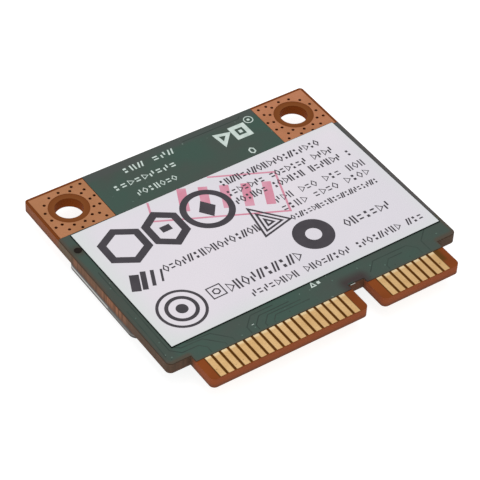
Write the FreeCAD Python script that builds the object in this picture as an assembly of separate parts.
import FreeCAD, Part

import math
import os

Vector = FreeCAD.Vector

# The card lies label side up and rests on the lid of its shield. X runs along the width, the
# contact tongue points to -Y, Z is up, and the origin is under the middle of the board, at the
# height of the lid's outer face. All sizes are millimetres.

# Board outline, with the contact tongue, its two shoulders and the key slot
board_width = 30.0
board_depth = 26.8
board_thickness = 1.0
shoulder_width = 2.15
tongue_length = 3.25
front_corner_radius = 0.5
back_corner_radius = 0.35
key_offset = 3.85
key_width = 1.6
key_length = 3.0

# Copper, solder mask, and the height at which soldered parts stand clear of the mask
copper_thickness = 0.035
mask_cover = 0.02
mask_margin = 0.05
solder_stand = 0.02
mask_thickness = copper_thickness + mask_cover
solder_height = mask_thickness + solder_stand

# Gold contacts on both faces of the tongue
contact_pitch = 0.8
contact_width = 0.6
contact_length = 2.4
contact_setback = 0.05
contact_thickness = 0.04
contact_to_key = 2.0
long_row_count = 18
short_row_count = 8

# Screw holes in the two back corners, each with a stitched copper pad round it
screw_hole_diameter = 2.6
screw_hole_inset = 2.9
bare_ring_width = 0.575
pad_edge_margin = 0.27
pad_rim = 0.08
via_bore = 0.28
via_wall = 0.04
via_sides = 6
near_via_radius = 2.2
near_via_count = 13
near_via_start = 2.0
far_via_radius = 2.75
far_via_count = 9
far_via_start = 55.0
far_via_step = 25.0
corner_vias = ((3.3, 42.0), (3.45, -48.0))

# Paper label, stuck on a little askew
label_width = 28.2
label_depth = 15.8
label_thickness = 0.1
label_shift_x = 0.36
label_shift_y = -0.46
label_tilt = 0.6

# Sheet-metal shield: a soldered frame and a lid that snaps over it
lid_sheet = 0.15
frame_sheet = 0.2
lid_side_margin = 0.4
lid_back_gap = 0.75
lid_front_gap = 2.1
lid_step_width = 5.1
lid_step_depth = 4.5
lid_corner_radius = 0.9
lid_bend = 0.12
lid_clearance = 0.05
skirt_gap = 0.3
part_headroom = 0.125
flange_width = 0.9
bridge_width = 1.6
snap_length = 1.6
snap_base = 0.5
snap_tip = 0.2
snap_depth = 0.15
snap_dent_depth = 0.1
snap_clearance = 0.05
snap_back_count = 2
snap_front_count = 2

# Moulded chips, each standing on flat leads
chip_size = 8.0
chip_height = 0.75
chip_leads = 5
chip_lead_pitch = 1.2
chip_offset = 1.5
front_end_size = 3.0
front_end_height = 0.6
front_end_leads = 3
front_end_lead_pitch = 0.65
front_end_gap = 2.2
front_end_rise = 1.6
memory_width = 2.0
memory_length = 3.0
memory_height = 0.6
memory_leads = 3
memory_lead_pitch = 0.65
lead_width = 0.25
lead_length = 0.4
lead_thickness = 0.1
lead_inset = 0.05
heat_pad_gap = 0.5
pin_mark_diameter = 0.7
pin_mark_depth = 0.08
pin_mark_sides = 8

# Voltage regulator with bent leads
regulator_width = 1.6
regulator_length = 2.9
regulator_height = 0.9
regulator_stand = 0.1
regulator_lead_pitch = 0.95
regulator_lead_width = 0.4
regulator_lead_reach = 0.6
regulator_foot = 0.35
regulator_lead_sheet = 0.13

# Crystal in a ceramic case with a welded metal lid
crystal_length = 2.5
crystal_width = 2.0
crystal_case_height = 0.5
crystal_lid_thickness = 0.1
crystal_lid_inset = 0.12
crystal_land_length = 0.7
crystal_land_width = 0.6

# Two-ended chip parts: (length, width, height, end cap length)
inductor_size = (2.5, 2.0, 1.0, 0.5)
filter_size = (2.0, 1.25, 0.7, 0.3)
bulk_size = (2.0, 1.25, 0.9, 0.4)
small_size = (1.0, 0.5, 0.5, 0.2)
small_pitch = 1.6
cap_proud = 0.03
part_gap = 0.6
row_gap = 0.4
decoupling_count = 3
resistor_count = 3
matching_count = 2
matching_pitch = 0.9
coupling_count = 3
coupling_pitch = 2.2
step_part_count = 2

# Antenna jacks between the screw holes
jack_spread = 5.0
jack_base_size = 2.6
jack_base_height = 0.35
jack_height = 1.25
jack_shell_radius = 1.0
jack_shell_wall = 0.15
jack_groove_depth = 0.06
jack_groove_height = 0.3
jack_tab_width = 1.8
jack_tab_length = 0.35
jack_tab_thickness = 0.12
jack_pin_width = 0.44
jack_pin_sides = 8
jack_pin_drop = 0.2
jack_tail_width = 0.5
jack_fit = 0.02

# Places worked out from the sizes above
half_width = board_width / 2
front_y = -board_depth / 2
back_y = board_depth / 2
shoulder_y = front_y + tongue_length
tongue_x = half_width - shoulder_width
key_left = key_offset - key_width / 2
key_right = key_offset + key_width / 2
mask_front_y = front_y + contact_setback + contact_length + mask_margin
screw_x = half_width - screw_hole_inset
screw_y = back_y - screw_hole_inset
pad_inner_reach = far_via_radius + via_bore / 2 + pad_rim
pad_outer_reach = screw_hole_inset - pad_edge_margin
window_reach = pad_inner_reach + mask_margin
window_x = screw_x - window_reach
window_y = screw_y - window_reach
bare_ring_radius = screw_hole_diameter / 2 + bare_ring_width
via_drill = via_bore + 2 * via_wall
tallest_part = max(chip_height + lead_thickness, regulator_height + regulator_stand, inductor_size[2])
frame_height = solder_height + tallest_part + part_headroom + frame_sheet
shield_height = frame_height + lid_sheet
board_bottom = shield_height
board_top = board_bottom + board_thickness
lid_left = -half_width + lid_side_margin
lid_right = half_width - lid_side_margin
lid_front = mask_front_y + lid_front_gap
lid_back = window_y - lid_back_gap
lid_middle_y = (lid_front + lid_back) / 2
room_margin = lid_sheet + lid_clearance + frame_sheet
room_left = lid_left + room_margin
room_right = lid_right - room_margin
room_front = lid_front + room_margin
room_back = lid_back - room_margin
skirt_height = shield_height - skirt_gap
snap_height = (lid_sheet + skirt_height) / 2
snap_dent_length = snap_length - (snap_base - snap_tip)

nodes = {}
mask_windows = []


def add(name, *shapes):
    """Puts shapes into the node of that name."""
    nodes.setdefault(name, []).extend(shapes)


def block(centre_x, centre_y, width, depth, low, high):
    """A level block from its centre, its two sizes and its lower and upper heights."""
    corner = Vector(centre_x - width / 2, centre_y - depth / 2, low)
    return Part.makeBox(width, depth, high - low, corner)


def outline(corners):
    """A closed outline through right-angled corners (x, y, radius), with arcs where a radius is set."""
    spots = [Vector(x, y, 0) for x, y, radius in corners]
    edges = []
    last = None
    first = None
    for index, (x, y, radius) in enumerate(corners):
        here = spots[index]
        incoming = (here - spots[index - 1]).normalize()
        outgoing = (spots[(index + 1) % len(spots)] - here).normalize()
        start = here - incoming * radius
        end = here + outgoing * radius
        if last is not None:
            edges.append(Part.LineSegment(last, start).toShape())
        else:
            first = start
        if radius > 0:
            centre = start + outgoing * radius
            middle = centre + (here - centre).normalize() * radius
            edges.append(Part.Arc(start, middle, end).toShape())
        last = end
    edges.append(Part.LineSegment(last, first).toShape())
    return Part.Wire(edges)


def inset(corners, amount):
    """The same corners with every side moved inwards, or outwards where the amount is negative."""
    moved = []
    for index, (x, y, radius) in enumerate(corners):
        before = corners[index - 1]
        after = corners[(index + 1) % len(corners)]
        into = Vector(x - before[0], y - before[1], 0).normalize()
        out = Vector(after[0] - x, after[1] - y, 0).normalize()
        turn = 1 if into.x * out.y - into.y * out.x > 0 else -1
        shift_x = -(into.y + out.y) * amount
        shift_y = (into.x + out.x) * amount
        new_radius = max(radius - turn * amount, 0) if radius > 0 else 0
        moved.append((x + shift_x, y + shift_y, new_radius))
    return moved


def slab(corners, low, high):
    """A level plate with the given corners between two heights."""
    face = Part.Face(outline(corners))
    face.translate(Vector(0, 0, low))
    return face.extrude(Vector(0, 0, high - low))


def drill(x, y, width, low, high, sides=via_sides):
    """A small round hole or pin as a prism of few sides, because there are many of them."""
    radius = width / 2 / math.cos(math.pi / sides)
    turns = [2 * math.pi * (side + 0.5) / sides for side in range(sides)]
    ring = [Vector(x + radius * math.cos(a), y + radius * math.sin(a), low) for a in turns]
    face = Part.Face(Part.makePolygon(ring + ring[:1]))
    return face.extrude(Vector(0, 0, high - low))


def screw_bore(side, radius, low, high):
    """A round cut on the axis of the left (-1) or right (+1) screw hole."""
    return Part.makeCylinder(radius, high - low, Vector(side * screw_x, screw_y, low))


def via_points(side):
    """Via centres of one pad: a ring round the hole, an arc along the inner edges, two corners."""
    polar = []
    for step in range(near_via_count):
        polar.append((near_via_radius, near_via_start + step * 360 / near_via_count))
    for step in range(far_via_count):
        polar.append((far_via_radius, far_via_start - step * far_via_step))
    polar.extend(corner_vias)
    points = []
    for radius, degrees in polar:
        across = radius * math.cos(math.radians(degrees))
        along = radius * math.sin(math.radians(degrees))
        points.append((side * (screw_x - across), screw_y + along))
    return points


def board_corners():
    """The board seen from above, anticlockwise from the left shoulder."""
    round_front = front_corner_radius
    return [
        (-half_width, shoulder_y, round_front),
        (-tongue_x, shoulder_y, 0),
        (-tongue_x, front_y, round_front),
        (key_left, front_y, round_front),
        (key_left, front_y + key_length, 0),
        (key_right, front_y + key_length, 0),
        (key_right, front_y, round_front),
        (tongue_x, front_y, round_front),
        (tongue_x, shoulder_y, 0),
        (half_width, shoulder_y, round_front),
        (half_width, back_y, back_corner_radius),
        (-half_width, back_y, back_corner_radius),
    ]


def mask_corners():
    """The solder mask: the board less the contact strip and the two corner windows."""
    side_x = half_width - mask_margin
    front = shoulder_y + mask_margin
    key_end = front_y + key_length + mask_margin
    round_front = front_corner_radius - mask_margin
    return [
        (-side_x, front, round_front),
        (-tongue_x + mask_margin, front, 0),
        (-tongue_x + mask_margin, mask_front_y, 0),
        (key_left - mask_margin, mask_front_y, 0),
        (key_left - mask_margin, key_end, 0),
        (key_right + mask_margin, key_end, 0),
        (key_right + mask_margin, mask_front_y, 0),
        (tongue_x - mask_margin, mask_front_y, 0),
        (tongue_x - mask_margin, front, 0),
        (side_x, front, round_front),
        (side_x, window_y, 0),
        (window_x, window_y, 0),
        (window_x, back_y - mask_margin, 0),
        (-window_x, back_y - mask_margin, 0),
        (-window_x, window_y, 0),
        (-side_x, window_y, 0),
    ]


def lid_corners():
    """The shield seen from above: a rectangle with a step cut out of its front left corner."""
    radius = lid_corner_radius
    return [
        (lid_left + lid_step_width, lid_front, radius),
        (lid_right, lid_front, radius),
        (lid_right, lid_back, radius),
        (lid_left, lid_back, radius),
        (lid_left, lid_front + lid_step_depth, radius),
        (lid_left + lid_step_width, lid_front + lid_step_depth, radius),
    ]


def make_board():
    """The bare laminate with its screw holes, and every via hole drilled right through."""
    board = slab(board_corners(), board_bottom, board_top)
    cuts = []
    for side in (-1, 1):
        cuts.append(screw_bore(side, screw_hole_diameter / 2, board_bottom, board_top))
        for x, y in via_points(side):
            cuts.append(drill(x, y, via_drill, board_bottom, board_top))
    add("board_laminate", board.cut(cuts))


def make_label_side_mask():
    add("solder_mask_label_side", slab(mask_corners(), board_top, board_top + mask_thickness))


def make_component_side_mask():
    """The mask under the board, open round every land that solder reaches."""
    mask = slab(mask_corners(), board_bottom - mask_thickness, board_bottom)
    add("solder_mask_component_side", *mask.cut(mask_windows).Solids)


def make_screw_pad(name, side):
    """Copper on both faces round a screw hole, joined through the board by plated vias."""
    depth = pad_inner_reach + pad_outer_reach
    middle_x = side * (screw_x + (pad_outer_reach - pad_inner_reach) / 2)
    middle_y = screw_y + (pad_outer_reach - pad_inner_reach) / 2
    top = board_top + copper_thickness
    bottom = board_bottom - copper_thickness
    upper = block(middle_x, middle_y, depth, depth, board_top, top)
    lower = block(middle_x, middle_y, depth, depth, bottom, board_bottom)
    points = via_points(side)
    barrels = [drill(x, y, via_drill, board_bottom, board_top) for x, y in points]
    bores = [drill(x, y, via_bore, bottom, top) for x, y in points]
    bores.append(screw_bore(side, bare_ring_radius, bottom, top))
    pad = upper.fuse([lower] + barrels).cut(bores)
    add(name, pad.removeSplitter())


def make_contacts():
    """Two rows of gold contacts, one each side of the key slot, on both faces of the tongue."""
    rows = (("long", -1, long_row_count), ("short", 1, short_row_count))
    middle_y = front_y + contact_setback + contact_length / 2
    above = (board_top, board_top + contact_thickness)
    below = (board_bottom - contact_thickness, board_bottom)
    for face, (low, high) in (("label_side", above), ("component_side", below)):
        for row, side, count in rows:
            for step in range(count):
                x = key_offset + side * (contact_to_key + step * contact_pitch)
                contact = block(x, middle_y, contact_width, contact_length, low, high)
                add(f"contacts_{face}_{row}_row", contact)


def make_label():
    low = board_top + mask_thickness
    label = block(label_shift_x, label_shift_y, label_width, label_depth, low, low + label_thickness)
    label.rotate(Vector(label_shift_x, label_shift_y, 0), Vector(0, 0, 1), label_tilt)
    add("paper_label", label)


def snap_points():
    """Where the lid's snap ridges are: points on its outer wall, each with the way inwards."""
    points = []
    for step in range(snap_back_count):
        share = (step + 1) / (snap_back_count + 1)
        points.append((lid_left + share * (lid_right - lid_left), lid_back, Vector(0, -1, 0)))
    step_x = lid_left + lid_step_width
    for step in range(snap_front_count):
        share = (step + 1) / (snap_front_count + 1)
        points.append((step_x + share * (lid_right - step_x), lid_front, Vector(0, 1, 0)))
    points.append((lid_right, lid_middle_y, Vector(-1, 0, 0)))
    return points


def snap_ridge(foot, inwards, depth, base, tip, length):
    """A ridge standing in from a wall at its foot, as wide at its base and its tip as given."""
    along = Vector(-inwards.y, inwards.x, 0) * length
    start = foot - along * 0.5
    section = [(0, -base / 2), (depth, -tip / 2), (depth, tip / 2), (0, base / 2)]
    ring = [start + inwards * reach + Vector(0, 0, rise) for reach, rise in section]
    return Part.Face(Part.makePolygon(ring + ring[:1])).extrude(along)


def make_shield_lid():
    """A shallow drawn cover: plate, skirt, softened edge, and pressed ridges that hold the frame."""
    lid = slab(lid_corners(), 0, skirt_height)
    rim = [edge for edge in lid.Edges if max(v.Z for v in edge.Vertexes) < lid_sheet / 2]
    lid = lid.makeChamfer(min(lid_bend, 0.9 * lid_sheet), rim)
    lid = lid.cut(slab(inset(lid_corners(), lid_sheet), lid_sheet, skirt_height))
    dents = []
    ridges = []
    for x, y, inwards in snap_points():
        outside = Vector(x, y, snap_height)
        inside = outside + inwards * lid_sheet
        ridges.append(snap_ridge(inside, inwards, snap_depth, snap_base, snap_tip, snap_length))
        dents.append(snap_ridge(outside, inwards, snap_dent_depth, snap_base, snap_tip, snap_dent_length))
    add("shield_lid", lid.fuse(ridges).cut(dents))


def frame_corners():
    return inset(lid_corners(), lid_sheet + lid_clearance)


def make_shield_frame():
    """A fence soldered to the board, with a flange and a bridge under the lid."""
    top_z = board_bottom - solder_height
    under_flange = lid_sheet + frame_sheet
    frame = slab(frame_corners(), lid_sheet, top_z)
    frame = frame.cut(slab(inset(frame_corners(), frame_sheet), under_flange, top_z))
    square = [(x, y, 0) for x, y, radius in frame_corners()]
    opening = slab(inset(square, flange_width), lid_sheet, under_flange)
    depth = lid_back - lid_front
    bridge = block(chip_offset, lid_middle_y, bridge_width, depth, lid_sheet, under_flange)
    holes = [opening.cut(bridge)]
    slot_width = snap_base + 2 * snap_clearance
    slot_length = snap_length + 2 * snap_clearance
    for x, y, inwards in snap_points():
        foot = Vector(x, y, snap_height)
        holes.append(snap_ridge(foot, inwards, room_margin, slot_width, slot_width, slot_length))
    add("shield_frame", frame.cut(holes))


def make_shield_land():
    """The square-cornered ring of soldered copper that the frame stands on."""
    corners = [(x, y, 0) for x, y, radius in frame_corners()]
    outer = inset(corners, -mask_margin)
    inner = inset(corners, frame_sheet + mask_margin)
    low = board_bottom - solder_height
    add("shield_ground_ring", slab(outer, low, board_bottom).cut(slab(inner, low, board_bottom)))
    outer_cut = slab(inset(outer, -mask_margin), low, board_bottom)
    mask_windows.append(outer_cut.cut(slab(inset(inner, mask_margin), low, board_bottom)))


def mount_below(pieces, x, y, turn=0.0):
    """Turns pieces built up from z = 0 over, and sets them on the board's component face."""
    for name, shape in pieces:
        shape.rotate(Vector(0, 0, 0), Vector(0, 1, 0), 180)
        shape.rotate(Vector(0, 0, 0), Vector(0, 0, 1), turn)
        shape.translate(Vector(x, y, board_bottom))
        if name == "window":
            mask_windows.append(shape)
        else:
            add(name, shape)


def mask_window(spots):
    """The opening in the mask round a part's soldered spots, each (x, y, width, depth)."""
    left = min(x - w / 2 for x, y, w, d in spots) - mask_margin
    right = max(x + w / 2 for x, y, w, d in spots) + mask_margin
    front = min(y - d / 2 for x, y, w, d in spots) - mask_margin
    back = max(y + d / 2 for x, y, w, d in spots) + mask_margin
    return ("window", Part.makeBox(right - left, back - front, mask_thickness, Vector(left, front, 0)))


def chip_part(kind, size):
    """A two-ended part lying along X: a body between two end caps, soldered down to the board."""
    length, width, height, cap = size
    top = solder_height + height
    inner = length - 2 * cap
    low_body = solder_height + cap_proud
    body = block(0, 0, inner, width - 2 * cap_proud, low_body, top - cap_proud)
    pieces = [(f"{kind}_bodies", body)]
    spots = []
    for side in (-1, 1):
        x = side * (length - cap) / 2
        pieces.append((f"{kind}_end_caps", block(x, 0, cap, width, 0, top)))
        spots.append((x, 0, cap, width))
    return pieces + [mask_window(spots)]


def row_of_leads(count, pitch, x, sideways):
    """Flat leads in a row, as (x, y, width, depth), standing across X or along it."""
    spots = []
    for step in range(count):
        along = (step - (count - 1) / 2) * pitch
        if sideways:
            spots.append((x, along, lead_length, lead_width))
        else:
            spots.append((along, x, lead_width, lead_length))
    return spots


def flat_chip(kind, width, length, height, spots):
    """A moulded chip on flat leads that are soldered down to the board."""
    top = solder_height + lead_thickness
    pieces = [(f"{kind}_body", block(0, 0, width, length, top, top + height))]
    for spot in spots:
        pieces.append((f"{kind}_leads", block(*spot, 0, top)))
    return pieces + [mask_window(spots)]


def square_chip(kind, size, height, count, pitch):
    """A flat chip with leads on all four sides and a heat pad under its middle."""
    reach = size / 2 - lead_inset - lead_length / 2
    heat_pad = 2 * (reach - lead_length / 2 - heat_pad_gap)
    spots = [(0, 0, heat_pad, heat_pad)]
    for side in (-1, 1):
        spots += row_of_leads(count, pitch, side * reach, True)
        spots += row_of_leads(count, pitch, side * reach, False)
    return flat_chip(kind, size, size, height, spots)


def radio_chip():
    """The main chip, with a round mark moulded into its top beside lead one."""
    pieces = square_chip("radio_chip", chip_size, chip_height, chip_leads, chip_lead_pitch)
    spot = chip_size / 2 - pin_mark_diameter
    top = solder_height + lead_thickness + chip_height
    mark = drill(-spot, spot, pin_mark_diameter, top - pin_mark_depth, top, pin_mark_sides)
    name, body = pieces[0]
    return [(name, body.cut(mark))] + pieces[1:]


def memory_chip():
    """A flat chip with leads on its two long sides."""
    reach = memory_width / 2 - lead_inset - lead_length / 2
    spots = row_of_leads(memory_leads, memory_lead_pitch, -reach, True)
    spots += row_of_leads(memory_leads, memory_lead_pitch, reach, True)
    return flat_chip("memory_chip", memory_width, memory_length, memory_height, spots)


def regulator():
    """A moulded regulator with bent leads: three on one side and two on the other."""
    low = solder_height + regulator_stand
    body = block(0, 0, regulator_width, regulator_length, low, low + regulator_height)
    pieces = [("regulator_body", body)]
    sheet = regulator_lead_sheet
    knee = low + regulator_height / 2
    reach = regulator_width / 2 + regulator_lead_reach
    spots = []
    for side, steps in ((1, (-1, 0, 1)), (-1, (-1, 1))):
        for step in steps:
            y = step * regulator_lead_pitch
            path = [
                (regulator_width / 2, knee - sheet),
                (reach - regulator_foot, knee - sheet),
                (reach - regulator_foot, 0),
                (reach, 0),
                (reach, solder_height + sheet),
                (reach - regulator_foot + sheet, solder_height + sheet),
                (reach - regulator_foot + sheet, knee),
                (regulator_width / 2, knee),
            ]
            ring = [Vector(side * x, y - regulator_lead_width / 2, z) for x, z in path]
            face = Part.Face(Part.makePolygon(ring + ring[:1]))
            lead = face.extrude(Vector(0, regulator_lead_width, 0))
            pieces.append(("regulator_leads", lead))
            spots.append((side * (reach - regulator_foot / 2), y, regulator_foot, regulator_lead_width))
    return pieces + [mask_window(spots)]


def crystal():
    """A ceramic case on four soldered lands, closed by a thin metal lid."""
    top = solder_height + crystal_case_height
    case = block(0, 0, crystal_length, crystal_width, solder_height, top)
    lid_length = crystal_length - 2 * crystal_lid_inset
    lid_width = crystal_width - 2 * crystal_lid_inset
    lid = block(0, 0, lid_length, lid_width, top, top + crystal_lid_thickness)
    pieces = [("crystal_case", case), ("crystal_lid", lid)]
    spots = []
    for side_x in (-1, 1):
        for side_y in (-1, 1):
            x = side_x * (crystal_length - crystal_land_length) / 2
            y = side_y * (crystal_width - crystal_land_width) / 2
            spots.append((x, y, crystal_land_length, crystal_land_width))
            pieces.append(("crystal_lands", block(*spots[-1], 0, solder_height)))
    return pieces + [mask_window(spots)]


def antenna_jack(side):
    """A push-on radio jack: moulded base, grooved round shell on two tabs, and centre pin."""
    base_top = solder_height + jack_base_height
    top = solder_height + jack_height
    bore = jack_shell_radius - jack_shell_wall
    half_base = jack_base_size / 2
    tail_length = half_base + jack_tab_length
    tail_top = solder_height + jack_tab_thickness
    spots = [(0, -half_base - jack_tab_length / 2, jack_tail_width, jack_tab_length)]
    middle = (top + base_top) / 2
    section = [
        (bore, base_top),
        (jack_shell_radius, base_top),
        (jack_shell_radius, middle - jack_groove_height / 2),
        (jack_shell_radius - jack_groove_depth, middle),
        (jack_shell_radius, middle + jack_groove_height / 2),
        (jack_shell_radius, top),
        (bore, top),
    ]
    ring = [Vector(x, 0, z) for x, z in section]
    shell = Part.Face(Part.makePolygon(ring + ring[:1])).revolve(Vector(0, 0, 0), Vector(0, 0, 1), 360)
    tabs = []
    sheet = jack_tab_thickness
    for way in (-1, 1):
        x = way * (half_base + sheet / 2)
        tabs.append(block(x, 0, sheet, jack_tab_width, 0, base_top + sheet))
        arm = half_base + sheet - bore
        tabs.append(block(way * (bore + arm / 2), 0, arm, jack_tab_width / 2, base_top, base_top + sheet))
        spots.append((x, 0, sheet, jack_tab_width))
    inner = Part.makeCylinder(bore, jack_height, Vector(0, 0, solder_height))
    shell = shell.fuse(tabs).cut(inner)
    pin = drill(0, 0, jack_pin_width, solder_height, top - jack_pin_drop, jack_pin_sides)
    tail = block(0, -tail_length / 2, jack_tail_width, tail_length, solder_height, tail_top)
    toe = block(*spots[0], 0, tail_top)
    pin = pin.fuse([tail, toe])
    base = block(0, 0, jack_base_size, jack_base_size, solder_height, base_top)
    pin_room = jack_pin_width / math.cos(math.pi / jack_pin_sides) + 2 * jack_fit
    hole = block(0, 0, pin_room, pin_room, solder_height, base_top)
    slot_width = max(jack_tail_width + 2 * jack_fit, pin_room)
    slot_depth = half_base + pin_room / 2
    slot_middle = pin_room / 2 - slot_depth / 2
    slot = block(0, slot_middle, slot_width, slot_depth, solder_height, tail_top + jack_fit)
    base = base.cut([hole, slot])
    pieces = [
        (f"antenna_jack_base_{side}", base),
        (f"antenna_jack_shell_{side}", shell.removeSplitter()),
        (f"antenna_jack_pin_{side}", pin.removeSplitter()),
    ]
    return pieces + [mask_window(spots)]


def share_room(start, end, *sizes):
    """Centres of parts in a line between two walls, with equal gaps before, between and after."""
    gap = (end - start - sum(sizes)) / (len(sizes) + 1)
    centres = []
    edge = start
    for size in sizes:
        centres.append(edge + gap + size / 2)
        edge += gap + size
    return centres


def fit_chips():
    """The radio chip in the middle of the shield, and a front-end chip and its parts each side."""
    chip_edge = chip_size / 2
    front_end_y = lid_middle_y + front_end_rise
    filter_y = (front_end_y + front_end_size / 2 + room_back) / 2
    mount_below(radio_chip(), chip_offset, lid_middle_y)
    for side, name in ((-1, "left"), (1, "right")):
        x = chip_offset + side * (chip_edge + front_end_gap + front_end_size / 2)
        front_end = square_chip(f"front_end_chip_{name}", front_end_size, front_end_height,
                                front_end_leads, front_end_lead_pitch)
        mount_below(front_end, x, front_end_y)
        mount_below(chip_part("antenna_filter", filter_size), x, filter_y)
        match_x = chip_offset + side * (chip_edge + front_end_gap / 2)
        for step in range(matching_count):
            match_y = front_end_y + (step - (matching_count - 1) / 2) * matching_pitch
            mount_below(chip_part("matching_inductor", small_size), match_x, match_y)


def fit_small_rows():
    """A row of capacitors behind the radio chip and a row of resistors in front of it."""
    behind = (lid_middle_y + chip_size / 2 + room_back) / 2
    before = (lid_middle_y - chip_size / 2 + room_front) / 2
    rows = (("ceramic_capacitor", decoupling_count, behind), ("resistor", resistor_count, before))
    for kind, count, y in rows:
        for step in range(count):
            x = chip_offset + (step - (count - 1) / 2) * small_pitch
            mount_below(chip_part(kind, small_size), x, y)


def fit_supply_and_clock():
    """The crystal, memory, inductor, regulator and bulk capacitor in the room that is left."""
    chip_left = chip_offset - chip_size / 2
    chip_right = chip_offset + chip_size / 2
    front_end_front = lid_middle_y + front_end_rise - front_end_size / 2
    low_y = (room_front + front_end_front) / 2
    crystal_x, memory_x = share_room(chip_right, room_right, crystal_length, memory_width)
    mount_below(crystal(), crystal_x, low_y)
    mount_below(memory_chip(), memory_x, low_y)
    inductor_x = (lid_left + lid_step_width + room_margin + chip_left) / 2
    mount_below(chip_part("power_inductor", inductor_size), inductor_x, low_y, 90.0)
    regulator_x = (room_left + chip_left - front_end_gap - front_end_size) / 2
    step_back = lid_front + lid_step_depth + room_margin
    regulator_y, bulk_y = share_room(step_back, room_back, regulator_length, bulk_size[1])
    mount_below(regulator(), regulator_x, regulator_y)
    mount_below(chip_part("bulk_capacitor", bulk_size), regulator_x, bulk_y)


def fit_antenna_jacks():
    """A jack for each antenna between the screw holes, with a capacitor in front of it."""
    for side, name in ((-1, "left"), (1, "right")):
        jack_x = side * jack_spread
        mount_below(antenna_jack(name), jack_x, screw_y, 180.0)
        jack_reach = jack_base_size / 2 + jack_tab_length + row_gap + small_size[0] / 2
        mount_below(chip_part("ceramic_capacitor", small_size), jack_x, screw_y - jack_reach, 90.0)


def fit_outside_shield():
    """Small parts on the board in front of the shield and in the step of its outline."""
    strip_y = (mask_front_y + lid_front) / 2
    for step in range(coupling_count):
        x = key_left - contact_to_key - step * coupling_pitch
        mount_below(chip_part("coupling_capacitor", small_size), x, strip_y, 90.0)
    step_x = lid_left + lid_step_width / 2
    step_y = lid_front + lid_step_depth / 2 - part_gap
    for step in range(step_part_count):
        x = step_x + (step - (step_part_count - 1) / 2) * small_pitch
        mount_below(chip_part("resistor", small_size), x, step_y, 90.0)


def write_nodes():
    """Writes each node to its own file, as one solid or as a group of separate ones."""
    os.makedirs("parts", exist_ok=True)
    for name, shapes in nodes.items():
        whole = shapes[0] if len(shapes) == 1 else Part.makeCompound(shapes)
        whole.exportStep(f"parts/{name}.step")


make_board()
make_label_side_mask()
make_screw_pad("screw_pad_left", -1)
make_screw_pad("screw_pad_right", 1)
make_contacts()
make_label()
make_shield_lid()
make_shield_frame()
make_shield_land()
fit_chips()
fit_small_rows()
fit_supply_and_clock()
fit_antenna_jacks()
fit_outside_shield()
make_component_side_mask()
write_nodes()
